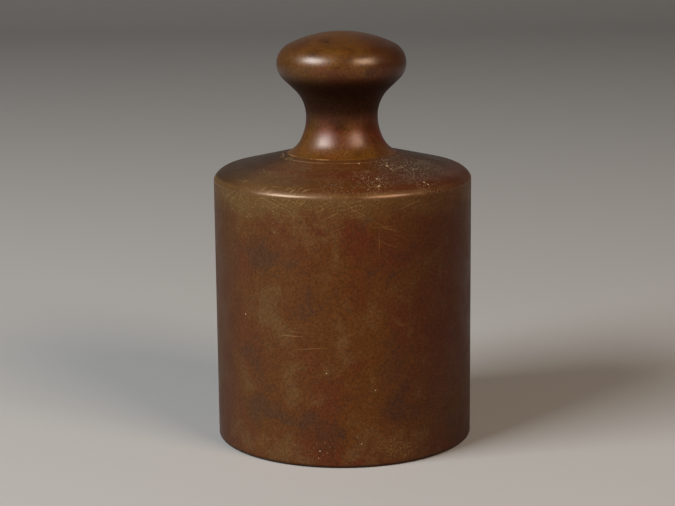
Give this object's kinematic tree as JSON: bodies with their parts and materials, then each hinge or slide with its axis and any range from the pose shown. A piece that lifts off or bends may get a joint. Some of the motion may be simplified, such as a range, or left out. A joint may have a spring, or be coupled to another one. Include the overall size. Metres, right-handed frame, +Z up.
{
  "type": "knob weight",
  "caption": "Cylindrical turned brass knob weight with a waisted knob that unscrews to open an adjusting cavity.",
  "frame": {"origin": "middle of the base, on the surface it stands on", "axes": "+Z up along the turning axis; X and Y are free directions of a turned shape"},
  "size_m": [0.051, 0.051, 0.081],
  "materials": {
    "body_brass": "satin",
    "knob_brass": "satin",
    "leather": "matte",
    "felt": "matte",
    "shot_metal": "satin"
  },
  "bodies": {
    "weight": {"body": "body_brass", "shot_wad": "felt", "adjusting_shot": "shot_metal"},
    "washer": {"seal_washer": "leather"},
    "screw_knob": {"knob": "knob_brass"}
  },
  "joints": [
    {"name": "knob_rise", "type": "slide", "parent": "weight", "child": "washer", "axis": [0, 0, 1], "range_m": [0, 0.014]},
    {"name": "knob_turn", "type": "hinge", "parent": "washer", "child": "screw_knob", "pos_m": [0, 0, 0.05], "axis": [0, 0, 1], "range_deg": [0, 2520]}
  ],
  "couplings": [
    {"joint": "knob_turn", "follows": "knob_rise", "rad_per_m": 3141.6}
  ]
}
